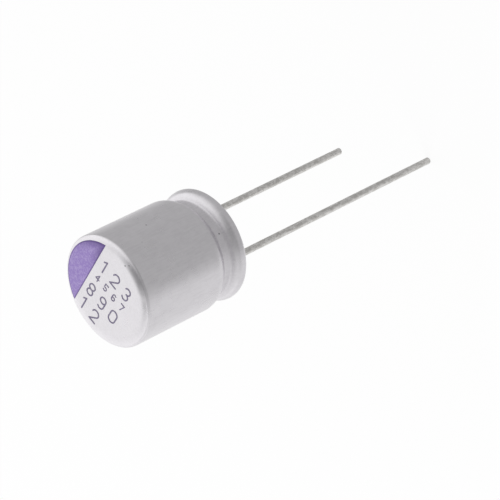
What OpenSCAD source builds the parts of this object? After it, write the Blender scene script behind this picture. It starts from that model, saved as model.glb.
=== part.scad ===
/* [Can] */
// Outer diameter of the can
can_d = 10; // [9.6:0.1:14]
// Height of the can from the seating plane to the closed end
can_h = 11.4; // [10:0.1:25]
// Thickness of the drawn side wall
wall = 0.2; // [0.16:0.01:0.24]
// Thickness of the closed end
end_t = 0.3; // [0.2:0.05:0.6]
// Outer radius of the corner at the closed end
corner_r = 0.3; // [0.25:0.01:0.6]
// Radius of the soft shoulder between the flat face and the corner
shoulder_r = 3.2; // [1:0.1:4]
// Angle through which the shoulder falls away
shoulder_a = 12; // [5:0.5:30]

/* [Groove] */
// Height at which the side wall starts to bend in
bend_z = 3.33; // [3.1:0.01:3.6]
// Radius of the soft bend above the groove
bend_r = 1.4; // [0.8:0.05:1.5]
// Depth of the groove below the can's surface
groove_depth = 0.7; // [0.6:0.05:0.8]
// Radius of the hollow on each side of the groove's bottom
hollow_r = 0.3; // [0.25:0.01:0.35]
// Radius of the round bead between the groove and the rim
bead_r = 1; // [0.9:0.05:1.2]

/* [Rim] */
// Outer radius of the curl at the open end
curl_r = 0.3; // [0.25:0.01:0.4]
// Flat width of the rim between its two bends
rim_w = 0.35; // [0.2:0.05:0.6]
// Straight rise of the rim's inner lip
lip_rise = 0.15; // [0.05:0.05:0.3]

/* [Seal] */
// Distance from the seating plane up to the bung's outer face
seal_recess = 0.35; // [0.3:0.01:0.4]
// Thickness of the rubber bung
seal_h = 3.1; // [2.8:0.1:4.5]
// Clearance between the bung and the can
seal_gap = 0.02; // [0.01:0.01:0.05]
// Width of the chamfer round the mouth of each hole
mouth = 0.12; // [0.05:0.01:0.2]

/* [Leads] */
// Distance between the two leads
lead_pitch = 5; // [3.5:0.1:6]
// Diameter of the lead wire
lead_d = 0.6; // [0.45:0.05:0.8]
// Length of the positive lead below the seating plane
long_lead = 25.4; // [5:0.1:40]
// Length of the negative lead below the seating plane
short_lead = 18.9; // [5:0.1:40]
// Radius round the cut end of a lead
tip_r = 0.1; // [0.05:0.01:0.2]
// Widest diameter of the weld bead at the root of a lead
weld_d = 1; // [0.9:0.05:1.1]
// Height of the weld bead
weld_h = 0.35; // [0.15:0.05:0.5]

/* [Tabs] */
// Diameter of the aluminium boss in the bung
boss_d = 1.4; // [1.2:0.05:1.6]
// Clearance between a boss and its hole
boss_gap = 0.02; // [0.01:0.01:0.05]
// Depth of the boss's end inside the hole
boss_recess = 0.3; // [0.1:0.05:0.6]
// Height of the boss above the bung
boss_rise = 0.2; // [0.1:0.05:0.5]
// Height over which the boss is pressed flat
flat_h = 0.35; // [0.2:0.05:0.6]
// Width of the flat tab
tab_w = 1.5; // [1:0.1:1.8]
// Distance from the top of the winding down to the end of a tab
tab_short = 1.2; // [0.6:0.1:3]

/* [Winding] */
// Thickness of the positive foil
anode_t = 0.1; // [0.08:0.01:0.12]
// Thickness of the negative foil
cathode_t = 0.06; // [0.04:0.01:0.1]
// Thickness of each paper strip
paper_t = 0.09; // [0.06:0.01:0.12]
// Clearance between neighbouring layers
layer_gap = 0.01; // [0.005:0.005:0.02]
// Radius of the hollow core
core_r = 0.8; // [0.6:0.05:1.2]
// Distance by which the paper stands past the foils at each end
paper_edge = 0.4; // [0.2:0.05:0.8]
// Thickness of the closing tape
tape_t = 0.05; // [0.03:0.01:0.1]
// Least clearance between the tape and the can
wind_gap = 0.1; // [0.05:0.05:0.3]
// Clearance between the winding and the closed end
top_gap = 0.25; // [0.1:0.05:0.6]
// Clearance between the pressed bosses and the winding
low_gap = 0.1; // [0.05:0.05:0.4]

/* [Print] */
// Turn of the print against the line of the leads
print_turn = -12; // [-45:0.5:45]
// Distance from the can's axis to the straight edge of the violet segment
mark_chord = 2.23; // [1.9:0.01:3.5]
// Distance from the can's surface in to the round edge of the segment
mark_margin = 0.6; // [0.45:0.01:1]
// Place of the round edge's centre
mark_at = [-0.28, -0.1]; // [-0.3:0.01:0.3]
// Thickness of the ink
ink_t = 0.02; // [0.01:0.01:0.05]
// Width of a printed stroke
stroke = 0.13; // [0.1:0.01:0.18]
// Width of a stroke of the small digits
fine_stroke = 0.1; // [0.08:0.01:0.14]
// Height of the large digits
big_h = 1.45; // [1.2:0.05:1.5]
// Distance between the large digits
big_pitch = 1.49; // [1.2:0.01:1.55]
// Height of the small digits
small_h = 0.8; // [0.6:0.05:1]
// Distance between the small digits
small_pitch = 1.08; // [0.9:0.01:1.15]
// Place of the first digit of every row, across
first_x = -1.33; // [-1.45:0.01:-1.2]
// Place of the four rows, up the face
row_y = [1.9, 0.31, -1.39, -3.3]; // [-3.4:0.01:2.2]

/* [Hidden] */
$fn = 96;

// Plain counting digits, with the height, the pitch and the stroke of each row
rows = [[1, 2, 3], [4, 5, 6, 7], [8, 9, 0], [1, 2]];
row_h = [big_h, small_h, big_h, big_h];
row_pitch = [big_pitch, small_pitch, big_pitch, big_pitch];
row_stroke = [stroke, fine_stroke, stroke, stroke];

can_r = can_d / 2;
bore_r = can_r - wall;
// Centres of the arcs in the can's half section, each touching the next
bend_at = [can_r - bend_r, bend_z];
bead_at = [can_r - bead_r, curl_r];
hollow_x = can_r - groove_depth + hollow_r;
hollow_at = [hollow_x, bend_at[1] - sqrt(pow(bend_r + hollow_r, 2) - pow(hollow_x - bend_at[0], 2))];
foot_at = [hollow_x, bead_at[1] + sqrt(pow(bead_r + hollow_r, 2) - pow(hollow_x - bead_at[0], 2))];
curl_at = [can_r - curl_r, curl_r];
lip_at = [can_r - curl_r - rim_w, curl_r];
// Direction from each arc's centre to the next one's
bend_a = atan2(hollow_at[1] - bend_at[1], hollow_at[0] - bend_at[0]);
bead_a = atan2(foot_at[1] - bead_at[1], foot_at[0] - bead_at[0]);
// Inner side of the rim's lip
lip_r = lip_at[0] - curl_r;
seal_top = seal_recess + seal_h;
// Centres of the shoulder's arc and the corner's arc round the closed end
shoulder_at = [can_r - corner_r - (shoulder_r - corner_r) * sin(shoulder_a), can_h - shoulder_r];
corner_at = shoulder_at + (shoulder_r - corner_r) * [sin(shoulder_a), cos(shoulder_a)];
in_corner = max(corner_r - wall, 0.04);

boss_low = seal_recess + boss_recess;
bead_low = boss_low - weld_h;
boss_top = seal_top + boss_rise;
wind_low = boss_top + flat_h + low_gap;
wind_top = can_h - end_t - top_gap;
foil_low = wind_low + paper_edge;
foil_top = wind_top - paper_edge;
tab_top = wind_top - tab_short;

// Radial step of one turn: paper, positive foil, paper, negative foil
pitch = anode_t + cathode_t + 2 * paper_t + 4 * layer_gap;
turns = floor((bore_r - wind_gap - tape_t - core_r) / pitch - 0.75);
anode_at = paper_t + layer_gap;
outer_paper_at = anode_at + anode_t + layer_gap;
cathode_at = outer_paper_at + paper_t + layer_gap;
wind_r = core_r + turns * pitch;

// Half turns on which the two tabs lie: even ones on the +X side, odd ones on the -X side
anode_turn = 2 * round((lead_pitch / 2 - core_r - outer_paper_at - paper_t / 2) / pitch);
cathode_turn = 2 * round((lead_pitch / 2 - core_r - paper_t / 2 - pitch / 2) / pitch) + 1;
anode_tab_r = core_r + outer_paper_at + anode_turn * pitch / 2;
cathode_tab_r = core_r + cathode_turn * pitch / 2;

// Square with its corner at (x, y)
module block(x, y, w, h) {
    translate([x, y])
        square([w, h]);
}

module disc(c, r) {
    translate(c)
        circle(r);
}

// Points of an arc round c, from angle a0 to angle a1
function arc(c, r, a0, a1) = let (n = max(2, ceil(abs(a1 - a0) / 6)))
    [for (i = [0 : n]) let (a = a0 + (a1 - a0) * i / n) c + r * [cos(a), sin(a)]];

// Side of the rolled wall from its bend down to the lip, moved in by o
function rolled(o) = concat(
    arc(bend_at, bend_r - o, 0, bend_a),
    arc(hollow_at, hollow_r + o, bend_a + 180, 180),
    arc(foot_at, hollow_r + o, 180, bead_a + 180),
    arc(bead_at, bead_r - o, bead_a, 0),
    arc(curl_at, curl_r - o, 0, -90),
    arc(lip_at, curl_r - o, 270, 180),
    [[lip_r + o, curl_r + lip_rise]]);

// Half section of the closed end from the axis out, as far as the angle a from its edge
function shoulder(a) = concat(
    [[0, can_h]],
    arc(shoulder_at, shoulder_r, 90, 90 - shoulder_a),
    arc(corner_at, corner_r, 90 - shoulder_a, a));

// Piece of a ring round c, between the radii r0 and r1 and the angles a0 and a1
module sector(c, r0, r1, a0, a1) {
    n = ceil((a1 - a0) / 45);
    translate(c)
        intersection() {
            difference() {
                circle(r1);
                circle(r0);
            }
            polygon(concat([[0, 0]],
                [for (i = [0 : n]) let (a = a0 + (a1 - a0) * i / n) 2 * r1 * [cos(a), sin(a)]]));
        }
}

// Drawn cup, rolled in near its mouth and curled over the bung
module case() {
    outer = concat(shoulder(0), rolled(0));
    inner = concat([[0, can_h - end_t]], arc([bore_r - in_corner, can_h - end_t - in_corner], in_corner, 90, 0),
        rolled(wall));
    color([0.74, 0.74, 0.76])
        rotate_extrude()
            polygon(concat(outer, [for (i = [len(inner) - 1 : -1 : 0]) inner[i]]));
}

// Rubber bung that follows the inside of the rolled can
module seal() {
    g = seal_gap;
    lip_top = curl_r + lip_rise + g;
    color([0.13, 0.13, 0.14])
        difference() {
            rotate_extrude()
                polygon(concat([[0, seal_top], [bore_r - g, seal_top]], rolled(wall + g),
                    [[lip_r + wall + g, lip_top], [lip_r - g, lip_top], [lip_r - g, seal_recess], [0, seal_recess]]));
            for (s = [-1, 1])
                translate([s * lead_pitch / 2, 0, seal_recess]) {
                    translate([0, 0, -1])
                        cylinder(r = boss_d / 2 + boss_gap, h = seal_h + 2);
                    translate([0, 0, -mouth])
                        cylinder(r1 = boss_d / 2 + boss_gap + 2 * mouth, r2 = boss_d / 2 + boss_gap, h = 2 * mouth);
                }
        }
}

// Wire with a rounded cut end, up to the bead that welds it to its boss
module lead(length) {
    r = lead_d / 2;
    translate([0, 0, -length + tip_r])
        cylinder(r = r, h = length - tip_r + bead_low);
    translate([0, 0, -length])
        rotate_extrude()
            union() {
                block(0, 0, r - tip_r, 2 * tip_r);
                block(0, tip_r, r, tip_r);
                disc([r - tip_r, tip_r], tip_r);
            }
}

module anode_lead() {
    color([0.66, 0.66, 0.68])
        translate([lead_pitch / 2, 0, 0])
            lead(long_lead);
}

module cathode_lead() {
    color([0.66, 0.66, 0.68])
        translate([-lead_pitch / 2, 0, 0])
            lead(short_lead);
}

// Flat section of a tab: a piece of one layer, tab_w wide, grown by g
module tab_section(side, r, g) {
    intersection() {
        translate([0, side * pitch / 4])
            difference() {
                circle(r + paper_t + g);
                circle(r - g);
            }
        block(side > 0 ? 0 : -can_r, -tab_w / 2 - g, can_r, tab_w + 2 * g);
    }
}

// Weld bead and round boss in the bung, drawn to a cone and pressed flat above it
module tab(side, r) {
    translate([side * lead_pitch / 2, 0, 0]) {
        translate([0, 0, bead_low])
            cylinder(r1 = lead_d / 2, r2 = weld_d / 2, h = weld_h);
        translate([0, 0, boss_low])
            cylinder(r = boss_d / 2, h = boss_top - boss_low);
        translate([0, 0, boss_top])
            cylinder(r1 = boss_d / 2, r2 = paper_t, h = flat_h);
    }
    translate([0, 0, boss_top - paper_t])
        linear_extrude(tab_top - boss_top + paper_t)
            tab_section(side, r, 0);
}

module anode_tab() {
    color([0.8, 0.8, 0.82])
        tab(1, anode_tab_r);
}

module cathode_tab() {
    color([0.8, 0.8, 0.82])
        tab(-1, cathode_tab_r);
}

// One half turn of a strip: radius r, thickness t, on the +X side or the -X side
module half_turn(side, r, t) {
    intersection() {
        translate([0, side * pitch / 4])
            difference() {
                circle(r + t);
                circle(r);
            }
        block(side > 0 ? 0 : -2 * can_r, -2 * can_r, 2 * can_r, 4 * can_r);
    }
}

// Wound strip that starts at the radial place at, made of half turns on two centres
module strip(at, t, low, high) {
    translate([0, 0, low])
        linear_extrude(high - low)
            for (k = [0 : 2 * turns - 1])
                half_turn(k % 2 == 0 ? 1 : -1, core_r + at + k * pitch / 2, t);
}

module anode_foil() {
    color([0.5, 0.5, 0.48])
        strip(anode_at, anode_t, foil_low, foil_top);
}

module cathode_foil() {
    color([0.76, 0.77, 0.78])
        strip(cathode_at, cathode_t, foil_low, foil_top);
}

// Space in a paper strip that a tab fills
module tab_slot(side, r) {
    translate([0, 0, wind_low - 1])
        linear_extrude(tab_top + layer_gap - wind_low + 1)
            tab_section(side, r, layer_gap);
}

module inner_separator() {
    color([0.86, 0.8, 0.66])
        difference() {
            strip(0, paper_t, wind_low, wind_top);
            tab_slot(-1, cathode_tab_r);
        }
}

module outer_separator() {
    color([0.9, 0.85, 0.72])
        difference() {
            strip(outer_paper_at, paper_t, wind_low, wind_top);
            tab_slot(1, anode_tab_r);
        }
}

// Tape round the last turn, stepped down over the ends of the four strips
module winding_tape() {
    color([0.85, 0.7, 0.4])
        translate([0, 0, wind_low])
            linear_extrude(wind_top - wind_low)
                union() {
                    half_turn(1, wind_r, tape_t);
                    half_turn(-1, wind_r + pitch / 2, tape_t);
                    block(0, -wind_r - 0.75 * pitch - tape_t, tape_t, pitch + tape_t);
                }
}

// Bar of width w from a to b with round ends
module bar(a, b, w) {
    d = b - a;
    translate(a) {
        rotate(atan2(d[1], d[0]))
            translate([0, -w / 2])
                square([norm(d), w]);
        circle(w / 2);
    }
    translate(b)
        circle(w / 2);
}

// Curved stroke of radius r and width w round c, from angle a0 to angle a1
module bow(c, r, a0, a1, w) {
    sector(c, r - w / 2, r + w / 2, a0, a1);
    for (a = [a0, a1])
        disc(c + r * [cos(a), sin(a)], w / 2);
}

module ring(c, r, w) {
    translate(c)
        difference() {
            circle(r + w / 2);
            circle(r - w / 2);
        }
}

// One digit of height h and stroke w, centred on the origin
module digit(n, h, w) {
    e = (h - w) / 2;
    a = 0.26 * h;
    b = e / 2;
    if (n == 0) {
        bow([0, e - a], a, 0, 180, w);
        bow([0, a - e], a, 180, 360, w);
        bar([-a, a - e], [-a, e - a], w);
        bar([a, a - e], [a, e - a], w);
    }
    if (n == 1) {
        bar([0.05 * h, -e], [0.05 * h, e], w);
        bar([-0.15 * h, e - 0.16 * h], [0.05 * h, e], w);
    }
    if (n == 2) {
        bow([0, e - a], a, -35, 170, w);
        bar([a * cos(35), e - a - a * sin(35)], [-a, -e], w);
        bar([-a, -e], [a, -e], w);
    }
    if (n == 3) {
        bow([0, b], b, -90, 150, w);
        bow([0, -b], b, -150, 90, w);
    }
    if (n == 4) {
        bar([0.1 * h, -e], [0.1 * h, e], w);
        bar([-a, -0.14 * h], [0.1 * h, e], w);
        bar([-a, -0.14 * h], [a, -0.14 * h], w);
    }
    if (n == 5) {
        bar([-0.8 * a, e], [0.9 * a, e], w);
        bar([-0.8 * a, e], [-0.8 * a, 0.05 * h], w);
        bow([-0.02 * h, -b], b, -150, 125, w);
    }
    if (n == 6) {
        ring([0, -b], b, w);
        bow([0, b], b, 40, 180, w);
        bar([-b, -b], [-b, b], w);
    }
    if (n == 7) {
        bar([-a, e], [a, e], w);
        bar([-0.25 * a, -e], [a, e], w);
    }
    if (n == 8) {
        ring([0, -b], b, w);
        ring([0, b], b, w);
    }
    if (n == 9)
        rotate(180)
            digit(6, h, w);
}

// Layer of ink on the closed end, in the shape of a flat drawing
module ink() {
    skin = shoulder(45);
    intersection() {
        rotate_extrude()
            polygon(concat(skin, [for (i = [len(skin) - 1 : -1 : 0]) skin[i] + [0, ink_t]]));
        translate([0, 0, can_h - corner_r])
            rotate(print_turn)
                linear_extrude(2 * corner_r)
                    children();
    }
}

// Printed segment over the negative side of the closed end
module polarity_mark() {
    color([0.6, 0.5, 0.78])
        ink()
            intersection() {
                disc(mark_at, can_r - mark_margin);
                block(-can_r, -can_r, can_r - mark_chord, can_d);
            }
}

// Four rows of digits beside the segment
module rating_print() {
    color([0.48, 0.44, 0.55])
        ink()
            for (j = [0 : len(rows) - 1], i = [0 : len(rows[j]) - 1])
                translate([first_x + i * row_pitch[j], row_y[j]])
                    digit(rows[j][i], row_h[j], row_stroke[j]);
}

case();
polarity_mark();
rating_print();
seal();
anode_lead();
cathode_lead();
anode_tab();
cathode_tab();
anode_foil();
cathode_foil();
inner_separator();
outer_separator();
winding_tape();
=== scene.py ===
"""Radial electrolytic capacitor, dressed round its packed solids and set on a white floor."""
import math

import bpy
from bpy.props import FloatProperty, FloatVectorProperty, IntProperty, PointerProperty
from mathutils import Matrix, Vector


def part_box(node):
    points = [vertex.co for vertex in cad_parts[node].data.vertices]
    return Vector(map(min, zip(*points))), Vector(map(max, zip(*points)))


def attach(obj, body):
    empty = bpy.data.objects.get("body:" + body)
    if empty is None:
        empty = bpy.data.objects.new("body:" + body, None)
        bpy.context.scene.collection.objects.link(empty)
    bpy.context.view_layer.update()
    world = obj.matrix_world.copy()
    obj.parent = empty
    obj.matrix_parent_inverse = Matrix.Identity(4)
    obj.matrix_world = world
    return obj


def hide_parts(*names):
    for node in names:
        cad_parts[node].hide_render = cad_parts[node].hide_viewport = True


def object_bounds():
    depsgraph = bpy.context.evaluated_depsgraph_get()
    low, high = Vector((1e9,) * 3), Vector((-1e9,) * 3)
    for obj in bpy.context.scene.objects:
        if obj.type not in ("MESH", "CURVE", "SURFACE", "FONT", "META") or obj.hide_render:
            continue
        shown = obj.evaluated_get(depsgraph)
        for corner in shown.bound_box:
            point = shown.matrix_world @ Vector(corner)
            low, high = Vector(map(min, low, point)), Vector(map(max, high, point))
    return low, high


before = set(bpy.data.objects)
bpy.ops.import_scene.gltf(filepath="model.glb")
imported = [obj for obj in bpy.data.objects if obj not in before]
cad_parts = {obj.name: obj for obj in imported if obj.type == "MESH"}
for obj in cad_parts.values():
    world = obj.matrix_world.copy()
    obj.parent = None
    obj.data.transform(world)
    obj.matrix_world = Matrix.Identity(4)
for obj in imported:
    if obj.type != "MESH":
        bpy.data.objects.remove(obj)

bl_info = {
    "name": "Radial Capacitor",
    "version": (1, 0, 0),
    "blender": (4, 5, 0),
    "location": "3D View > Sidebar > Capacitor",
    "description": "Builds a radial electrolytic capacitor and the studio it is shown in",
    "category": "Object",
}

MM = 0.001
SMOOTH_ANGLE = math.radians(32)
CAD_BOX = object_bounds()
CASE_LOW, CASE_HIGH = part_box("case")
SEAL_LOW, SEAL_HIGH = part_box("seal")
LONG_LOW, LONG_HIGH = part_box("anode_lead")
SHORT_LOW, SHORT_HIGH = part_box("cathode_lead")
MARK_LOW, MARK_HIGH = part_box("polarity_mark")
ROOT = "root"


# Settings of the object and its finishes

def length(label, note, metres):
    """A size in metres, shown in the scene's own units."""
    return FloatProperty(name=label, description=note, default=metres, unit="LENGTH",
                         subtype="DISTANCE", precision=6)


def colour(label, note, red, green, blue):
    """A plain linear colour."""
    return FloatVectorProperty(name=label, description=note, default=(red, green, blue),
                               subtype="COLOR", min=0.0, max=1.0)


class CanSizes(bpy.types.PropertyGroup):
    """Sizes of the drawn can and its rolled mouth"""
    radius: length("Radius", "Outer radius of the can",
                   min(CASE_HIGH.x, CASE_HIGH.y, -CASE_LOW.x, -CASE_LOW.y))
    height: length("Height", "Height of the closed end above the rim", CASE_HIGH.z)
    wall: length("Wall", "Thickness of the side wall", 0.2 * MM)
    end: length("End", "Thickness of the closed end", 0.3 * MM)
    corner: length("Corner", "Radius round the closed end", 0.3 * MM)
    shoulder: length("Shoulder", "Radius of the soft shoulder inside the corner", 3.2 * MM)
    fall: FloatProperty(name="Fall", description="Angle through which the shoulder falls away",
                        default=math.radians(12), subtype="ANGLE", unit="ROTATION")
    bend_height: length("Bend height", "Height where the wall starts to bend in", 3.33 * MM)
    bend: length("Bend", "Radius of the soft bend above the groove", 1.4 * MM)
    groove: length("Groove", "Depth of the groove below the can's surface", 0.7 * MM)
    hollow: length("Hollow", "Radius of the hollow on each side of the groove's bottom", 0.3 * MM)
    bead: length("Bead", "Radius of the round bead between the groove and the rim", 1.0 * MM)
    curl: length("Curl", "Outer radius of the curl at the mouth", 0.3 * MM)
    rim: length("Rim", "Flat width of the rim", 0.35 * MM)
    lip: length("Lip", "Straight rise of the rim's inner lip", 0.15 * MM)
    around: IntProperty(name="Sides", description="Number of sides round the can",
                        default=160, min=48, max=256)


class SealSizes(bpy.types.PropertyGroup):
    """Sizes of the rubber bung and the bosses in it"""
    recess: length("Recess", "Height of the bung's outer face above the rim", 0.35 * MM)
    gap: length("Gap", "Clearance between the bung and the can", 0.02 * MM)
    boss: length("Boss", "Radius of each boss", 0.7 * MM)
    boss_gap: length("Boss gap", "Clearance between a boss and its hole", 0.02 * MM)
    mouth: length("Mouth", "Width of the rounded edge of each hole", 0.12 * MM)


class LeadSizes(bpy.types.PropertyGroup):
    """Sizes of the two wires"""
    radius: length("Radius", "Radius of the wire", (LONG_HIGH.y - LONG_LOW.y) / 2)
    tip: length("Tip", "Radius round a cut end", 0.1 * MM)
    waver: length("Waver", "Unevenness of the tin on the wire", 0.006 * MM)
    step: length("Step", "Distance between two rings of the wire", 0.2 * MM)


class PrintSizes(bpy.types.PropertyGroup):
    """Sizes of the printed segment"""
    turn: FloatProperty(name="Turn", description="Turn of the print against the line of the leads",
                        default=math.radians(-12), subtype="ANGLE", unit="ROTATION")
    chord: length("Chord", "Distance from the can's axis to the segment's straight edge", 2.23 * MM)
    margin: length("Margin", "Distance from the can's surface in to the segment's round edge", 0.6 * MM)
    shift: length("Shift", "Shift of the round edge's centre, away from the straight edge", 0.28 * MM)
    slip: length("Slip", "Shift of the round edge's centre along the straight edge", -0.1 * MM)
    blunt: length("Blunt", "Roundness of the segment's two corners", 0.12 * MM)


class Finishes(bpy.types.PropertyGroup):
    """Colours of the object's surfaces"""
    can: colour("Can", "Satin aluminium of the can", 0.885, 0.865, 0.895)
    can_dark: colour("Can, dark grain", "Aluminium in the grain's low places", 0.815, 0.795, 0.825)
    violet: colour("Violet ink", "Fill of the printed segment", 0.30, 0.212, 0.53)
    violet_pale: colour("Violet ink, thin", "Places where the ink lies thin", 0.56, 0.47, 0.74)
    # Also the colour of painted shade near the print's edges on its upper side
    violet_deep_and_shade: colour("Violet ink, thick", "Ink that has gathered along an edge", 0.12, 0.075, 0.25)
    digits: colour("Digit ink", "Ink of the printed digits", 0.19, 0.165, 0.255)
    digits_pale: colour("Digit ink, thin", "Places where the digits' ink is worn", 0.36, 0.34, 0.42)
    # Dark grey of a painted reflection along a short stretch of the can's edge
    painted_reflection: colour("Rubbed edge", "Dull grey where the can's edge was rubbed", 0.30, 0.295, 0.31)
    mark: colour("Mark", "Dark spots left on the can by handling", 0.12, 0.12, 0.13)
    rubber: colour("Rubber", "Black rubber of the bung", 0.028, 0.028, 0.031)
    rubber_bloom: colour("Rubber bloom", "Dull grey bloom on the rubber", 0.075, 0.073, 0.072)
    dust: colour("Dust", "Dust in the low places of the rubber", 0.22, 0.21, 0.20)
    tin: colour("Tin", "Matte tin on the wires", 0.97, 0.955, 0.935)
    tin_dark: colour("Tin, dark", "Dull patches of the tin", 0.69, 0.675, 0.65)
    tin_pit: colour("Tin pit", "Small pits in the tin", 0.16, 0.155, 0.15)
    boss: colour("Boss", "Bare aluminium of the bosses and tabs", 0.75, 0.75, 0.77)
    boss_dark: colour("Boss, dark", "Press marks on the bosses and tabs", 0.5, 0.5, 0.51)
    etched: colour("Etched foil", "Grey etched foil", 0.32, 0.32, 0.31)
    etched_dark: colour("Etched foil, dark", "Pits of the etched foil", 0.20, 0.20, 0.195)
    plain: colour("Plain foil", "Bright plain foil", 0.74, 0.75, 0.77)
    plain_dark: colour("Plain foil, dark", "Roll lines of the plain foil", 0.58, 0.585, 0.6)
    paper: colour("Paper", "Soaked separator paper", 0.62, 0.52, 0.36)
    tape: colour("Tape", "Amber closing tape", 0.60, 0.36, 0.10)
    tape_air: colour("Air in the tape", "Pale places where air lies under the tape", 0.80, 0.62, 0.34)


class PhotoView(bpy.types.PropertyGroup):
    """Camera that matches the photograph, and the light round the object"""
    pixels: FloatProperty(name="Frame", description="Width of the photograph in pixels", default=500)
    scale: FloatProperty(name="Scale", default=12.210,
                         description="Pixels to a millimetre at the closed end")
    distance: length("Distance", "Distance of the closed end along the view", 249.462 * MM)
    across: FloatProperty(name="Across", default=106.272,
                          description="Pixel column of the closed end's centre")
    down: FloatProperty(name="Down", description="Pixel row of the closed end's centre", default=292.396)
    tilt: FloatProperty(name="Tilt", description="Angle of the can's axis out of the picture",
                        default=math.radians(37.91), subtype="ANGLE", unit="ROTATION")
    roll: FloatProperty(name="Roll", description="Angle of the can's axis in the picture",
                        default=math.radians(-26.57), subtype="ANGLE", unit="ROTATION")
    turn: FloatProperty(name="Turn", description="Turn of the can about its own axis",
                        default=math.radians(31.9), subtype="ANGLE", unit="ROTATION")
    sensor: FloatProperty(name="Sensor", description="Sensor width in millimetres", default=36)
    fill: FloatProperty(name="Fill", description="Level of the light from all round", default=0.62)
    key: FloatProperty(name="Key", description="Level of the key lamp on a face turned to it", default=0.35)
    back: FloatProperty(name="Back", description="Level of the lamp behind and above", default=0.2)
    floor_level: FloatProperty(name="Floor level", default=0.85,
                               description="Brightness of the floor in shiny pieces")
    floor_shade: FloatProperty(name="Floor shade", default=0.385,
                               description="How much darker its shaded side is in them")
    side_shade: FloatProperty(name="Side shade", default=0.13,
                              description="How much darker the floor beside the object is in them")
    sky_shade: FloatProperty(name="Sky shade", default=0.68,
                             description="Darkness above the camera in shiny pieces")
    side_sky: FloatProperty(name="Side sky", default=0.22,
                            description="Darkness of the sky beside the object in shiny pieces")
    gap_shade: FloatProperty(name="Gap shade", default=0.8,
                             description="Darkness of the narrow gap above in shiny pieces")
    soft: length("Soft", "Distance over which the floor's shade sets in", 8 * MM)


# Materials, with their sums written as Python

class Term:
    """A number on its way through a material's nodes"""

    def __init__(self, finish, socket):
        self.finish = finish
        self.socket = socket

    def __add__(self, other):
        return self.finish.maths("ADD", self, other)

    __radd__ = __add__

    def __sub__(self, other):
        return self.finish.maths("SUBTRACT", self, other)

    def __rsub__(self, other):
        return self.finish.maths("SUBTRACT", other, self)

    def __mul__(self, other):
        return self.finish.maths("MULTIPLY", self, other)

    __rmul__ = __mul__

    def __truediv__(self, other):
        return self.finish.maths("DIVIDE", self, other)


class Finish:
    """Node tree of one material or of the world"""

    def __init__(self, name, tree=None):
        if tree is None:
            self.material = bpy.data.materials.new(name)
            self.material.use_nodes = True
            tree = self.material.node_tree
        self.tree = tree
        self.tree.nodes.clear()

    def node(self, kind, settings=None, inputs=None):
        """A node with its settings made first, and then the values or links of its sockets."""
        made = self.tree.nodes.new(kind)
        for name, value in (settings or {}).items():
            setattr(made, name, value)
        for name, value in (inputs or {}).items():
            self.feed(made.inputs[name], value)
        return made

    def feed(self, socket, value):
        """Links a socket, or gives it a plain value."""
        if isinstance(value, Term):
            self.tree.links.new(value.socket, socket)
        elif hasattr(value, "__len__") and socket.type == "RGBA":
            socket.default_value = (*value[:3], 1.0)
        else:
            socket.default_value = value

    def term(self, made, output=0):
        return Term(self, made.outputs[output])

    def maths(self, operation, *values):
        return self.term(self.node("ShaderNodeMath", {"operation": operation}, dict(enumerate(values))))

    def vector(self, operation, first, second=None, scale=None):
        inputs = {0: first}
        if second is not None:
            inputs[1] = second
        if scale is not None:
            inputs["Scale"] = scale
        made = self.node("ShaderNodeVectorMath", {"operation": operation}, inputs)
        plain = operation in ("DISTANCE", "LENGTH", "DOT_PRODUCT")
        return self.term(made, "Value" if plain else "Vector")

    def place(self):
        """Object coordinates in millimetres."""
        coordinates = self.node("ShaderNodeTexCoord")
        return self.vector("SCALE", self.term(coordinates, "Object"), scale=1 / MM)

    def axes(self, point):
        parts = self.node("ShaderNodeSeparateXYZ", inputs={0: point})
        return tuple(self.term(parts, i) for i in range(3))

    def stretch(self, point, x, y, z):
        return self.vector("MULTIPLY", point, (x, y, z))

    def noise(self, point, scale=1.0, detail=2.0, roughness=0.5, distortion=0.0):
        """Soft noise from 0 to 1, with scale in blobs a millimetre."""
        made = self.node("ShaderNodeTexNoise", {"noise_dimensions": "3D"},
                         {"Vector": point, "Scale": scale, "Detail": detail,
                          "Roughness": roughness, "Distortion": distortion})
        return self.term(made, 0)

    def cells(self, point, scale=1.0):
        """Distance to the nearest of many scattered points, with scale in points a millimetre."""
        made = self.node("ShaderNodeTexVoronoi", inputs={"Vector": point, "Scale": scale})
        return self.term(made, "Distance")

    def soft(self, value, low, high, start=0.0, end=1.0):
        """A smooth step from start to end as value goes from low to high."""
        made = self.node("ShaderNodeMapRange", {"interpolation_type": "SMOOTHSTEP"},
                         {0: value, 1: low, 2: high, 3: start, 4: end})
        return self.term(made, 0)

    def blend(self, share, first, second):
        """A colour from first to second."""
        made = self.node("ShaderNodeMix", {"data_type": "RGBA", "clamp_factor": True},
                         {0: share, 6: first, 7: second})
        return self.term(made, 2)

    def bump(self, height, distance, strength=1.0):
        """Bump whose height of 1 stands distance metres proud."""
        made = self.node("ShaderNodeBump", inputs={"Strength": strength, "Distance": distance,
                                                   "Height": height})
        return self.term(made, "Normal")

    def speck(self, point, centre, radius):
        """1 within a small round place, and 0 outside it."""
        return self.soft(self.vector("DISTANCE", point, centre), radius * 0.4, radius, 1.0, 0.0)

    def shader(self, **inputs):
        """The usual surface, with plain words for its sockets."""
        names = {"base": "Base Color", "rough": "Roughness", "metal": "Metallic", "normal": "Normal",
                 "specular": "Specular IOR Level", "coat": "Coat Weight"}
        made = self.node("ShaderNodeBsdfPrincipled",
                         inputs={names[name]: value for name, value in inputs.items()})
        self.finish_with(self.term(made))
        return self.material

    def finish_with(self, surface, kind="ShaderNodeOutputMaterial"):
        self.node(kind, inputs={"Surface": surface})


def rolled_groove(f, mm):
    """1 in the groove, where the rolling tool has dulled the metal, and 0 on the rest of the can."""
    out = f.vector("LENGTH", f.stretch(mm, 1, 1, 0))
    return f.soft(out, 4.45, 4.8, 1.0, 0.0) * f.soft(f.axes(mm)[2], 3.2, 3.6, 1.0, 0.0)


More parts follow.
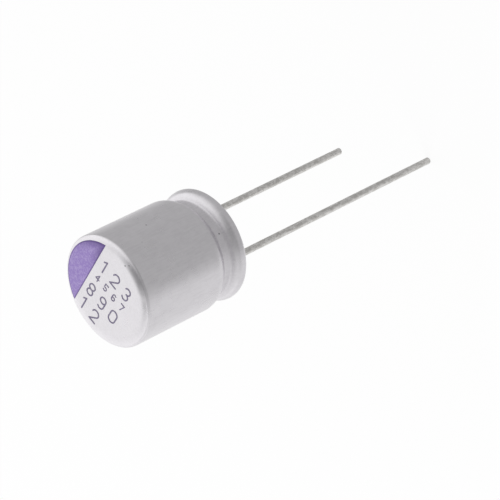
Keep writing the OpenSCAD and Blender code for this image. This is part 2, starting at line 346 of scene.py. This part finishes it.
def painted_edge_reflection(f, mm):
    """A painted dark reflection: a soft dull streak along a short stretch of the edge round the closed end.
    """
    to_streak = (0.528, 0.849, 0.0)
    along_streak = (0.849, -0.528, 0.0)
    out = f.vector("LENGTH", f.stretch(mm, 1, 1, 0))
    reach = f.soft(f.maths("ABSOLUTE", f.vector("DOT_PRODUCT", mm, along_streak)), 0.5, 2.0, 1.0, 0.0)
    near_side = f.soft(f.vector("DOT_PRODUCT", mm, to_streak), 3.5, 4.2)
    return reach * near_side * f.soft(out, 3.9, 4.55) * f.soft(f.axes(mm)[2], 11.23, 11.34)


def can_finish(colours):
    """Satin drawn aluminium: fine grain up the wall, an etched bloom, a few marks from handling, and a
    painted dark reflection on its edge
    """
    f = Finish("satin_aluminium")
    mm = f.place()
    drawn = f.noise(f.stretch(mm, 6, 6, 0.7), 1.0, 3.0, 0.6)
    bloom = f.noise(mm, 1.3, 4.0, 0.6)
    frost = f.noise(mm, 22.0, 2.0, 0.7)
    cloud = f.noise(mm, 0.35, 2.0, 0.5)
    grain = drawn * 0.35 + frost * 0.25 + bloom * 0.4
    tone = f.soft(grain, 0.38, 0.60)
    base = f.blend(tone, colours.can_dark, colours.can)
    marks = [((-1.05, 4.89, 7.35), 0.085), ((2.11, 3.75, 1.56), 0.10), ((1.10, 4.05, 11.4), 0.11),
             ((1.45, 4.35, 11.36), 0.09), ((0.35, 4.99, 9.1), 0.05)]
    dark = 0.0
    for centre, radius in marks:
        dark = f.speck(mm, centre, radius) + dark
    base = f.blend(dark * 0.75, base, colours.mark)
    # Painted dark reflection along a short stretch of the edge round the closed end
    base = f.blend(painted_edge_reflection(f, mm) * 0.62, base, colours.painted_reflection)
    rough = f.soft(bloom * 0.6 + cloud * 0.4, 0.35, 0.65, 0.27, 0.35) + rolled_groove(f, mm) * 0.16
    height = drawn * 0.35 + frost * 0.3 + bloom * 0.35
    return f.shader(base=base, metal=1.0, rough=rough, normal=f.bump(height, 0.0025 * MM, 0.5))


def violet_finish(colours, across, chord, centre, reach):
    """Violet ink over satin metal: fine pale grain, thin in places, gathered along its edges, and painted
    shade near its edges on one side
    """
    f = Finish("violet_ink")
    mm = f.place()
    grain = f.noise(mm, 5.5, 3.0, 0.75)
    patches = f.noise(mm, 1.1, 2.0, 0.5)
    pores = f.soft(f.cells(mm, 6.0), 0.0, 0.34, 1.0, 0.0)
    thin = f.soft(grain * 0.85 + patches * 0.15, 0.45, 0.59) * 0.45 + pores * 0.15
    base = f.blend(thin, colours.violet, colours.violet_pale)
    from_chord = f.vector("DOT_PRODUCT", mm, across) - chord / MM
    from_round = reach / MM - f.vector("DISTANCE", mm, centre / MM)
    # Side of the print on which shade is painted near its edges
    painted_shade_side = f.soft(f.vector("DOT_PRODUCT", mm, (across.y, -across.x, 0.0)), 0.0, 3.6)
    lines = f.maths("MAXIMUM", f.soft(from_chord, 0.02, 0.14, 1.0, 0.0),
                    f.soft(from_round, 0.02, 0.16, 1.0, 0.0))
    near = f.soft(f.maths("MINIMUM", from_chord, from_round), 0.0, 1.1, 1.0, 0.0)
    # Ink gathered along the edges, and painted shade near the edges on the upper side
    base = f.blend(lines * 0.8 + near * painted_shade_side * 0.8, base, colours.violet_deep_and_shade)
    return f.shader(base=base, rough=f.soft(grain, 0.3, 0.7, 0.42, 0.60), specular=0.35,
                    normal=f.bump(grain, 0.004 * MM, 0.6))


def digit_finish(colours):
    """Grey ink of the digits, a little uneven along the strokes"""
    f = Finish("grey_ink")
    mm = f.place()
    wear = f.soft(f.noise(mm, 6.0, 3.0, 0.7), 0.42, 0.72)
    base = f.blend(wear * 0.5, colours.digits, colours.digits_pale)
    return f.shader(base=base, rough=0.55, specular=0.3,
                    normal=f.bump(f.noise(mm, 14.0), 0.003 * MM, 0.5))


def rubber_finish(colours):
    """Black moulded rubber: fine pebbling, dull bloom and dust in the low places"""
    f = Finish("bung_rubber")
    mm = f.place()
    pebbles = f.noise(mm, 12.0, 3.0, 0.6)
    bloom = f.noise(mm, 1.4, 4.0, 0.6)
    dust = f.soft(f.cells(mm, 5.0), 0.02, 0.10, 1.0, 0.0)
    base = f.blend(f.soft(bloom, 0.35, 0.75) * 0.5, colours.rubber, colours.rubber_bloom)
    base = f.blend(dust * 0.35, base, colours.dust)
    return f.shader(base=base, rough=f.soft(bloom, 0.3, 0.7, 0.58, 0.78), specular=0.4,
                    normal=f.bump(pebbles * 0.7 + bloom * 0.3, 0.02 * MM, 0.6))


def tin_finish(colours):
    """Matte tin on a drawn wire: long streaks, dull patches and small pits"""
    f = Finish("tinned_wire")
    mm = f.place()
    streaks = f.noise(f.stretch(mm, 7, 7, 0.8), 1.0, 4.0, 0.65)
    patches = f.noise(f.stretch(mm, 3.4, 3.4, 2.2), 1.0, 4.0, 0.7, 0.6)
    pits = f.soft(f.cells(mm, 6.0), 0.03, 0.16, 1.0, 0.0)
    dull = f.soft(patches * 0.7 + streaks * 0.3, 0.42, 0.58)
    base = f.blend(dull, colours.tin_dark, colours.tin)
    base = f.blend(pits * 0.4, base, colours.tin_pit)
    return f.shader(base=base, metal=1.0, rough=f.soft(patches, 0.3, 0.7, 0.34, 0.50),
                    normal=f.bump(streaks * 0.4 + patches * 0.6, 0.03 * MM, 0.7))


def boss_finish(colours):
    """Bare pressed aluminium with a soft matte skin and press marks"""
    f = Finish("bare_aluminium")
    mm = f.place()
    skin = f.noise(mm, 4.0, 4.0, 0.6)
    lines = f.noise(f.stretch(mm, 12, 12, 0.6), 1.0, 2.0, 0.5)
    base = f.blend(f.soft(skin * 0.6 + lines * 0.4, 0.35, 0.65), colours.boss_dark, colours.boss)
    return f.shader(base=base, metal=1.0, rough=f.soft(skin, 0.3, 0.7, 0.30, 0.46),
                    normal=f.bump(lines, 0.006 * MM, 0.6))


def etched_finish(colours):
    """Etched foil: a dull grey skin full of fine pits"""
    f = Finish("etched_foil")
    mm = f.place()
    pits = f.noise(mm, 16.0, 3.0, 0.75)
    cloud = f.noise(mm, 0.8, 3.0, 0.5)
    base = f.blend(f.soft(pits * 0.6 + cloud * 0.4, 0.35, 0.65), colours.etched_dark, colours.etched)
    return f.shader(base=base, metal=0.7, rough=f.soft(pits, 0.3, 0.7, 0.60, 0.80),
                    normal=f.bump(pits, 0.01 * MM, 0.7))


def plain_finish(colours):
    """Rolled foil: bright, with fine roll lines along the strip"""
    f = Finish("plain_foil")
    mm = f.place()
    lines = f.noise(f.stretch(mm, 0.8, 0.8, 14), 1.0, 3.0, 0.6)
    base = f.blend(f.soft(lines, 0.35, 0.65), colours.plain_dark, colours.plain)
    return f.shader(base=base, metal=1.0, rough=f.soft(lines, 0.3, 0.7, 0.20, 0.34),
                    normal=f.bump(lines, 0.004 * MM, 0.5))


def paper_finish(name, shade):
    """Soaked kraft paper: short fibres and darker, wetter patches"""
    f = Finish(name)
    mm = f.place()
    fibres = f.noise(f.stretch(mm, 5, 5, 18), 1.0, 4.0, 0.7, 1.2)
    wet = f.noise(mm, 0.7, 3.0, 0.5)
    dark = tuple(0.62 * c for c in shade)
    base = f.blend(f.soft(fibres * 0.6 + wet * 0.4, 0.35, 0.68), dark, shade)
    return f.shader(base=base, rough=f.soft(wet, 0.3, 0.7, 0.50, 0.85), specular=0.4,
                    normal=f.bump(fibres, 0.01 * MM, 0.6))


def tape_finish(colours):
    """Thin amber tape: glossy, with faint wrinkles and trapped air"""
    f = Finish("amber_tape")
    mm = f.place()
    wrinkles = f.noise(f.stretch(mm, 0.9, 0.9, 3), 1.0, 3.0, 0.5, 0.8)
    air = f.soft(f.cells(mm, 1.6), 0.05, 0.22, 1.0, 0.0)
    base = f.blend(air * 0.45, colours.tape, colours.tape_air)
    return f.shader(base=base, rough=f.soft(wrinkles, 0.3, 0.7, 0.16, 0.30), coat=0.4,
                    normal=f.bump(wrinkles, 0.012 * MM, 0.5))


# Modelling helpers

def clear_selection():
    """Leaves edit mode and deselects everything, because an operator acts on all that is selected."""
    if bpy.context.object and bpy.context.object.mode != "OBJECT":
        bpy.ops.object.mode_set(mode="OBJECT")
    bpy.ops.object.select_all(action="DESELECT")


def take(piece):
    """Makes one piece the selected and active one."""
    clear_selection()
    piece.select_set(True)
    bpy.context.view_layer.objects.active = piece


def settle(piece):
    """Puts a piece's place into its mesh, turns its faces outwards and smooths its shading."""
    take(piece)
    bpy.ops.object.transform_apply(location=True, rotation=True, scale=True)
    bpy.ops.object.mode_set(mode="EDIT")
    bpy.ops.mesh.select_all(action="SELECT")
    bpy.ops.mesh.normals_make_consistent(inside=False)
    bpy.ops.object.mode_set(mode="OBJECT")
    bpy.ops.object.shade_smooth_by_angle(angle=SMOOTH_ANGLE)
    return piece


def turn_on_lathe(name, stations, around, centre=(0.0, 0.0)):
    """A closed turned piece: a disc drawn out through stations of (radius, height)."""
    clear_selection()
    radius, height = stations[0]
    bpy.ops.mesh.primitive_circle_add(vertices=around, radius=radius, fill_type="NGON",
                                      location=(*centre, height))
    piece = bpy.context.object
    piece.name = name
    piece.data.name = name
    bpy.ops.object.mode_set(mode="EDIT")
    bpy.ops.mesh.select_all(action="SELECT")
    for wider, higher in stations[1:]:
        bpy.ops.mesh.extrude_region_move(TRANSFORM_OT_translate={"value": (0, 0, higher - height)})
        grow = wider / radius
        bpy.ops.transform.resize(value=(grow, grow, 1), center_override=(*centre, higher))
        radius, height = wider, higher
    bpy.ops.object.mode_set(mode="OBJECT")
    return piece


def cut_away(piece, *cutters, operation="DIFFERENCE"):
    """Cuts the cutters' shapes out of a piece, or cuts it down to them, and removes them."""
    for cutter in cutters:
        take(piece)
        cut = piece.modifiers.new("cut", "BOOLEAN")
        cut.operation = operation
        cut.solver = "EXACT"
        cut.object = cutter
        bpy.ops.object.modifier_apply(modifier=cut.name)
        bpy.data.objects.remove(cutter, do_unlink=True)


def dress(piece, material, node):
    """Gives a piece its material, hangs it under the root and hides the solid it stands for."""
    piece.data.materials.clear()
    piece.data.materials.append(material)
    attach(piece, ROOT)
    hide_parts(node)


def redress(node, material):
    """Gives a solid that stays as it is a better material."""
    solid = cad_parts[node]
    for place in solid.material_slots:
        place.material = material
    if not solid.material_slots:
        solid.data.materials.append(material)


def arc(centre, radius, start, end, step=5.0):
    """Points of an arc in a half section, from start to end degrees."""
    count = max(2, math.ceil(abs(end - start) / step))
    points = []
    for i in range(count + 1):
        a = math.radians(start + (end - start) * i / count)
        points.append((centre[0] + radius * math.cos(a), centre[1] + radius * math.sin(a)))
    return points


def bearing(start, end):
    """Angle in degrees of the line from one point to another."""
    return math.degrees(math.atan2(end[1] - start[1], end[0] - start[0]))


def closed_end(s, last, lift=0.0):
    """Half section of the closed end, from the flat face out to the angle last, raised by lift."""
    fall = math.degrees(s.fall)
    grow = s.shoulder - s.corner
    shoulder_at = (s.radius - s.corner - grow * math.sin(s.fall), s.height - s.shoulder + lift)
    corner_at = (s.radius - s.corner, shoulder_at[1] + grow * math.cos(s.fall))
    return ([(shoulder_at[0] * 0.5, s.height + lift), (shoulder_at[0] * 0.94, s.height + lift)]
            + arc(shoulder_at, s.shoulder, 90, 90 - fall, 2.5)
            + arc(corner_at, s.corner, 90 - fall, last)[1:])


class Mouth:
    """Centres and angles of the arcs that make the rolled mouth, each touching the next"""

    def __init__(self, s):
        self.s = s
        self.bend_at = (s.radius - s.bend, s.bend_height)
        self.bead_at = (s.radius - s.bead, s.curl)
        middle = s.radius - s.groove + s.hollow
        drop = math.sqrt((s.bend + s.hollow) ** 2 - (middle - self.bend_at[0]) ** 2)
        rise = math.sqrt((s.bead + s.hollow) ** 2 - (middle - self.bead_at[0]) ** 2)
        self.hollow_at = (middle, self.bend_at[1] - drop)
        self.foot_at = (middle, self.bead_at[1] + rise)
        self.curl_at = (s.radius - s.curl, s.curl)
        self.lip_at = (s.radius - s.curl - s.rim, s.curl)
        self.lip_r = self.lip_at[0] - s.curl
        self.bend_a = bearing(self.bend_at, self.hollow_at)
        self.bead_a = bearing(self.bead_at, self.foot_at)

    def side(self, inset):
        """The wall's half section from its bend down to its lip, moved in by inset."""
        s = self.s
        return (arc(self.bend_at, s.bend - inset, 0, self.bend_a, 3.0)
                + arc(self.hollow_at, s.hollow + inset, self.bend_a + 180, 180)[1:]
                + arc(self.foot_at, s.hollow + inset, 180, self.bead_a + 180)
                + arc(self.bead_at, s.bead - inset, self.bead_a, 0, 4.0)[1:]
                + arc(self.curl_at, s.curl - inset, 0, -90)[1:]
                + arc(self.lip_at, s.curl - inset, 270, 180)
                + [(self.lip_r + inset, s.curl + s.lip)])


# Pieces of the object

class CAPACITOR_OT_can(bpy.types.Operator):
    """Build the drawn can with its rolled groove and curled rim"""
    bl_idname = "capacitor.can"
    bl_label = "Can"

    def execute(self, context):
        s = context.scene.capacitor_can
        inner = max(s.corner - s.wall, 0.04 * MM)
        bore = s.radius - s.wall
        top = s.height - s.end
        outside = closed_end(s, 0) + Mouth(s).side(0.0)
        inside = ([(bore * 0.5, top), ((bore - inner) * 0.97, top)]
                  + arc((bore - inner, top - inner), inner, 90, 0, 15.0) + Mouth(s).side(s.wall))
        can = turn_on_lathe("can_shell", outside + inside[::-1], s.around)
        settle(can)
        dress(can, can_finish(context.scene.capacitor_finish), "case")
        return {"FINISHED"}


class CAPACITOR_OT_bung(bpy.types.Operator):
    """Build the rubber bung with a rounded hole for each boss"""
    bl_idname = "capacitor.bung"
    bl_label = "Bung"

    def execute(self, context):
        can, s = context.scene.capacitor_can, context.scene.capacitor_seal
        mouth = Mouth(can)
        inset = can.wall + s.gap
        lip_top = can.curl + can.lip + s.gap
        edge = 0.06 * MM
        lip = mouth.lip_r - s.gap
        stations = ([((can.radius - inset) * 0.5, SEAL_HIGH.z), (can.radius - inset, SEAL_HIGH.z)]
                    + mouth.side(inset)
                    + [(mouth.lip_r + inset, lip_top), (lip, lip_top), (lip, s.recess + edge)]
                    + arc((lip - edge, s.recess + edge), edge, 0, -90, 15.0)
                    + [(lip * 0.9, s.recess), (lip * 0.5, s.recess)])
        bung = turn_on_lathe("rubber_bung", stations, can.around)
        hole = s.boss + s.boss_gap
        section = ([(hole + s.mouth, s.recess - 2 * s.mouth)]
                   + arc((hole + s.mouth, s.recess + s.mouth), s.mouth, 270, 180, 10.0)
                   + [(hole, SEAL_HIGH.z + 1 * MM)])
        cutters = []
        for lead_low, lead_high in ((LONG_LOW, LONG_HIGH), (SHORT_LOW, SHORT_HIGH)):
            axis = ((lead_low.x + lead_high.x) / 2, 0.0)
            cutter = turn_on_lathe("hole_cutter", section, 64, axis)
            cutters.append(settle(cutter))
        cut_away(bung, *cutters)
        settle(bung)
        dress(bung, rubber_finish(context.scene.capacitor_finish), "seal")
        return {"FINISHED"}


class CAPACITOR_OT_leads(bpy.types.Operator):
    """Build the long and the short wire, with uneven tin and cut ends"""
    bl_idname = "capacitor.leads"
    bl_label = "Leads"

    def execute(self, context):
        s = context.scene.capacitor_lead
        tin = tin_finish(context.scene.capacitor_finish)
        for name, node, low, high, phase in (("long_wire", "anode_lead", LONG_LOW, LONG_HIGH, 0.0),
                                             ("short_wire", "cathode_lead", SHORT_LOW, SHORT_HIGH, 2.1)):
            axis = ((low.x + high.x) / 2, 0.0)
            wire = turn_on_lathe(name, self.stations(s, low.z, high.z, phase), 32, axis)
            settle(wire)
            dress(wire, tin, node)
        return {"FINISHED"}

    @staticmethod
    def stations(s, low, high, phase):
        """A rounded cut end, then rings whose radius wavers with the tin."""
        points = [(s.radius * 0.3, low)] + arc((s.radius - s.tip, low + s.tip), s.tip, 270, 360, 15.0)
        count = round((high - low - s.tip) / s.step)
        for i in range(1, count + 1):
            z = low + s.tip + (high - low - s.tip) * i / count
            t = z / MM
            waver = (math.sin(1.7 * t + phase) + math.sin(4.3 * t + 2 * phase) + math.sin(9.1 * t)) / 3
            points.append((s.radius - s.waver * (1 + waver) / 2, z))
        return points


class CAPACITOR_OT_print(bpy.types.Operator):
    """Build the violet segment on the closed end and ink the digits"""
    bl_idname = "capacitor.print"
    bl_label = "Print"

    def execute(self, context):
        can, s = context.scene.capacitor_can, context.scene.capacitor_print
        across = Vector((-math.cos(s.turn), -math.sin(s.turn), 0.0))
        upwards = Vector((across.y, -across.x, 0.0))
        centre = across * s.shift + upwards * s.slip + Vector((0, 0, can.height - can.corner))
        reach = can.radius - s.margin
        outline = self.outline(centre, reach, across, s, 2 * can.corner)
        ink = MARK_HIGH.z - can.height
        stations = closed_end(can, 45, ink) + closed_end(can, 45)[::-1]
        mark = turn_on_lathe("violet_segment", stations, can.around)
        cut_away(mark, outline, operation="INTERSECT")
        settle(mark)
        finish = context.scene.capacitor_finish
        ink_at = Vector((centre.x, centre.y, can.height))
        dress(mark, violet_finish(finish, across, s.chord, ink_at, reach), "polarity_mark")
        redress("rating_print", digit_finish(finish))
        return {"FINISHED"}

    def outline(self, centre, reach, across, s, tall):
        """An upright block in the shape of the segment, with two blunt corners."""
        clear_selection()
        bpy.ops.mesh.primitive_circle_add(vertices=192, radius=reach, fill_type="NGON", location=centre)
        block = bpy.context.object
        bpy.ops.object.transform_apply(location=True)
        bpy.ops.object.mode_set(mode="EDIT")
        bpy.ops.mesh.select_all(action="SELECT")
        bpy.ops.mesh.bisect(plane_co=across * s.chord, plane_no=across, clear_inner=True, threshold=1e-7)
        bpy.ops.mesh.select_all(action="SELECT")
        bpy.ops.mesh.extrude_region_move(TRANSFORM_OT_translate={"value": (0, 0, tall)})
        self.blunt_corners(block, across, s)
        return settle(block)

    @staticmethod
    def blunt_corners(block, across, s):
        """Rounds the two upright edges where the chord meets the round side."""
        bpy.ops.mesh.select_mode(type="EDGE")
        bpy.ops.mesh.select_all(action="DESELECT")
        bpy.ops.object.mode_set(mode="OBJECT")
        ends = [v for v in block.data.vertices if abs(v.co.dot(across) - s.chord) < 0.001 * MM]
        reach = min(max(v.co.xy.length for v in ends if v.co.xy.dot(side) > 0)
                    for side in (across.xy.orthogonal(), -across.xy.orthogonal()))
        for edge in block.data.edges:
            a, b = (block.data.vertices[i].co for i in edge.vertices)
            upright = abs(a.x - b.x) + abs(a.y - b.y) < 1e-7
            corner = abs(a.dot(across) - s.chord) < 0.001 * MM and a.xy.length > reach * 0.95
            edge.select = upright and corner
        bpy.ops.object.mode_set(mode="EDIT")
        bpy.ops.mesh.bevel(offset=s.blunt, offset_type="OFFSET", segments=5, affect="EDGES")
        bpy.ops.mesh.select_mode(type="VERT")


class CAPACITOR_OT_winding(bpy.types.Operator):
    """Give the tabs and the winding inside the can their finishes"""
    bl_idname = "capacitor.winding"
    bl_label = "Winding"

    def execute(self, context):
        colours = context.scene.capacitor_finish
        boss = boss_finish(colours)
        redress("anode_tab", boss)
        redress("cathode_tab", boss)
        redress("anode_foil", etched_finish(colours))
        redress("cathode_foil", plain_finish(colours))
        redress("inner_separator", paper_finish("inner_paper", colours.paper))
        redress("outer_separator", paper_finish("outer_paper", tuple(0.92 * c for c in colours.paper)))
        redress("winding_tape", tape_finish(colours))
        return {"FINISHED"}


# Camera, floor and light

def photo_camera(view, height):
    """Place and axes of the photograph's camera in the part's frame."""
    along = Vector((math.cos(view.tilt) * math.cos(view.roll), math.cos(view.tilt) * math.sin(view.roll),
                    math.sin(view.tilt)))
    first = Vector((-math.sin(view.roll), math.cos(view.roll), 0.0))
    second = along.cross(first)
    x_axis = math.cos(view.turn) * first - math.sin(view.turn) * second
    z_axis = -along
    y_axis = z_axis.cross(x_axis)
    pixel = MM / view.scale
    centre = Vector(((view.across - view.pixels / 2) * pixel, (view.down - view.pixels / 2) * pixel,
                     view.distance))
    place = Vector((-centre.dot(x_axis), -centre.dot(y_axis), height - centre.dot(z_axis)))
    axes = [Vector((x_axis[i], y_axis[i], z_axis[i])) for i in range(3)]
    return place, axes[0], axes[1], axes[2]


class CAPACITOR_OT_stage(bpy.types.Operator):
    """Set up the camera, the white floor and the soft light"""
    bl_idname = "capacitor.stage"
    bl_label = "Stage"

    def execute(self, context):
        view = context.scene.capacitor_view
        place, right, down, ahead = photo_camera(view, context.scene.capacitor_can.height)
        self.camera(context, view, place, right, down, ahead)
        context.scene.view_settings.view_transform = "Standard"
        towards = Vector((-ahead.x, -ahead.y, 0.0)).normalized()
        aside = Vector((towards.y, -towards.x, 0.0))
        self.floor(view, (towards - aside).normalized(), (towards * 0.26 + aside).normalized())
        self.world(context, view, towards, aside)
        middle = Vector((0.0, 0.0, 0.004))
        up = Vector((0.0, 0.0, 1.0))
        key_side = aside * 0.75 - towards * 0.35 + up * 0.75
        back_side = -towards * 0.85 - aside * 0.3 + up * 0.70
        self.lamp("key_lamp", middle, key_side, distance=0.40, size=0.26, level=view.key)
        self.lamp("back_lamp", middle, back_side, distance=0.40, size=0.30, level=view.back)
        return {"FINISHED"}

    @staticmethod
    def camera(context, view, place, right, down, ahead):
        clear_selection()
        bpy.ops.object.camera_add(location=place)
        camera = bpy.context.object
        camera.name = "photo_camera"
        turn = Matrix((right, -down, -ahead)).transposed()
        camera.matrix_world = Matrix.Translation(place) @ turn.to_4x4()
        camera.data.sensor_width = view.sensor
        camera.data.lens = view.scale * view.distance / MM / view.pixels * view.sensor
        camera.data.clip_start = 0.01
        camera.data.clip_end = 10.0
        context.scene.camera = camera

    @staticmethod
    def floor(view, shaded, beside):
        """White floor that keeps the shadow. Shiny pieces see two darker stretches of it."""
        clear_selection()
        bpy.ops.mesh.primitive_plane_add(size=2.4, location=(0, 0, CAD_BOX[0].z))
        floor = bpy.context.object
        floor.name = "floor"
        f = Finish("floor_white")
        place = f.place()
        out = f.vector("LENGTH", place) + view.soft / MM
        slant = f.vector("DOT_PRODUCT", place, shaded) / out
        side = f.soft(f.vector("DOT_PRODUCT", place, beside) / out, 0.2, 1.0) * view.side_shade
        shade = f.maths("MAXIMUM", f.soft(slant, -0.45, 0.30) * view.floor_shade, side)
        shade = shade + (1 - view.floor_level)
        seen = f.node("ShaderNodeLightPath")
        glossy = f.term(seen, "Is Glossy Ray")
        paper = f.node("ShaderNodeBsdfDiffuse", inputs={"Color": (0.96, 0.96, 0.96)})
        glow = f.node("ShaderNodeEmission",
                      inputs={"Color": (1.0, 1.0, 1.0), "Strength": 1 - glossy * shade})
        share = f.maths("MAXIMUM", f.term(seen, "Is Camera Ray") * 0.9, glossy)
        mixed = f.node("ShaderNodeMixShader", inputs={0: share, 1: f.term(paper), 2: f.term(glow)})
        f.finish_with(f.term(mixed))
        floor.data.materials.append(f.material)

    @staticmethod
    def world(context, view, towards, aside):
        """White all round to the eye. Shiny pieces see a darker sky over the camera, with a gap."""
        world = bpy.data.worlds.new("studio")
        world.use_nodes = True
        context.scene.world = world
        up = Vector((0.0, 0.0, 1.0))
        gap_side = (up - towards * 0.4).normalized()
        f = Finish("studio", world.node_tree)
        seen = f.node("ShaderNodeLightPath")
        glossy = f.term(seen, "Is Glossy Ray")
        shown = f.maths("MAXIMUM", f.term(seen, "Is Camera Ray"), glossy)
        heading = f.term(f.node("ShaderNodeTexCoord"), "Generated")
        across = f.vector("DOT_PRODUCT", heading, aside)
        high = f.vector("DOT_PRODUCT", heading, up)
        wedge = f.maths("ABSOLUTE", across - high * 0.2) / (1.1 - high * 0.65)
        ahead = f.soft(f.vector("DOT_PRODUCT", heading, towards), -0.45, 0.05)
        sky = f.soft(wedge, 0.25, 1.55, 1.0, 0.0) * ahead * view.sky_shade
        sky = f.maths("MAXIMUM", sky, f.soft(across, 0.25, 0.7) * f.soft(high, 0.0, 0.3) * view.side_sky)
        off_middle = f.maths("ABSOLUTE", across - 0.03)
        strip = f.soft(off_middle, 0.05, 0.22, 1.0, 0.0)
        gap = f.soft(f.vector("DOT_PRODUCT", heading, gap_side), 0.86, 0.97) * strip * view.gap_shade
        strength = shown * (1.0 - view.fill) + view.fill - f.maths("MAXIMUM", sky, gap) * glossy
        sky_light = f.node("ShaderNodeBackground", inputs={"Color": (1.0, 1.0, 1.0), "Strength": strength})
        f.finish_with(f.term(sky_light), "ShaderNodeOutputWorld")

    @staticmethod
    def lamp(name, aim, direction, distance, size, level):
        """A soft square lamp that gives level on a white face turned to it."""
        away = direction.normalized()
        clear_selection()
        bpy.ops.object.light_add(type="AREA", location=aim + away * distance)
        lamp = bpy.context.object
        lamp.name = name
        lamp.rotation_euler = away.to_track_quat("Z", "Y").to_euler()
        lamp.data.shape = "SQUARE"
        lamp.data.size = size
        lamp.data.energy = level * (math.pi * distance) ** 2
        lamp.visible_glossy = False


class CAPACITOR_PT_panel(bpy.types.Panel):
    """Steps that build the capacitor, in order"""
    bl_label = "Capacitor"
    bl_idname = "CAPACITOR_PT_panel"
    bl_space_type = "VIEW_3D"
    bl_region_type = "UI"
    bl_category = "Capacitor"

    def draw(self, context):
        for step in STEPS:
            self.layout.operator(step.bl_idname)
        for group in GROUPS:
            box = self.layout.box()
            box.label(text=group.__doc__)
            settings = getattr(context.scene, GROUPS[group])
            for name in group.__annotations__:
                box.prop(settings, name)


GROUPS = {
    CanSizes: "capacitor_can",
    SealSizes: "capacitor_seal",
    LeadSizes: "capacitor_lead",
    PrintSizes: "capacitor_print",
    Finishes: "capacitor_finish",
    PhotoView: "capacitor_view",
}
STEPS = (CAPACITOR_OT_stage, CAPACITOR_OT_can, CAPACITOR_OT_bung, CAPACITOR_OT_leads,
         CAPACITOR_OT_print, CAPACITOR_OT_winding)


def register():
    for group, name in GROUPS.items():
        bpy.utils.register_class(group)
        setattr(bpy.types.Scene, name, PointerProperty(type=group))
    for step in STEPS:
        bpy.utils.register_class(step)
    bpy.utils.register_class(CAPACITOR_PT_panel)


def unregister():
    bpy.utils.unregister_class(CAPACITOR_PT_panel)
    for step in reversed(STEPS):
        bpy.utils.unregister_class(step)
    for group, name in reversed(GROUPS.items()):
        delattr(bpy.types.Scene, name)
        bpy.utils.unregister_class(group)


def main():
    """Builds everything in order."""
    register()
    bpy.ops.capacitor.stage()
    bpy.ops.capacitor.can()
    bpy.ops.capacitor.bung()
    bpy.ops.capacitor.leads()
    bpy.ops.capacitor.print()
    bpy.ops.capacitor.winding()
    clear_selection()


if __name__ == "__main__":
    main()
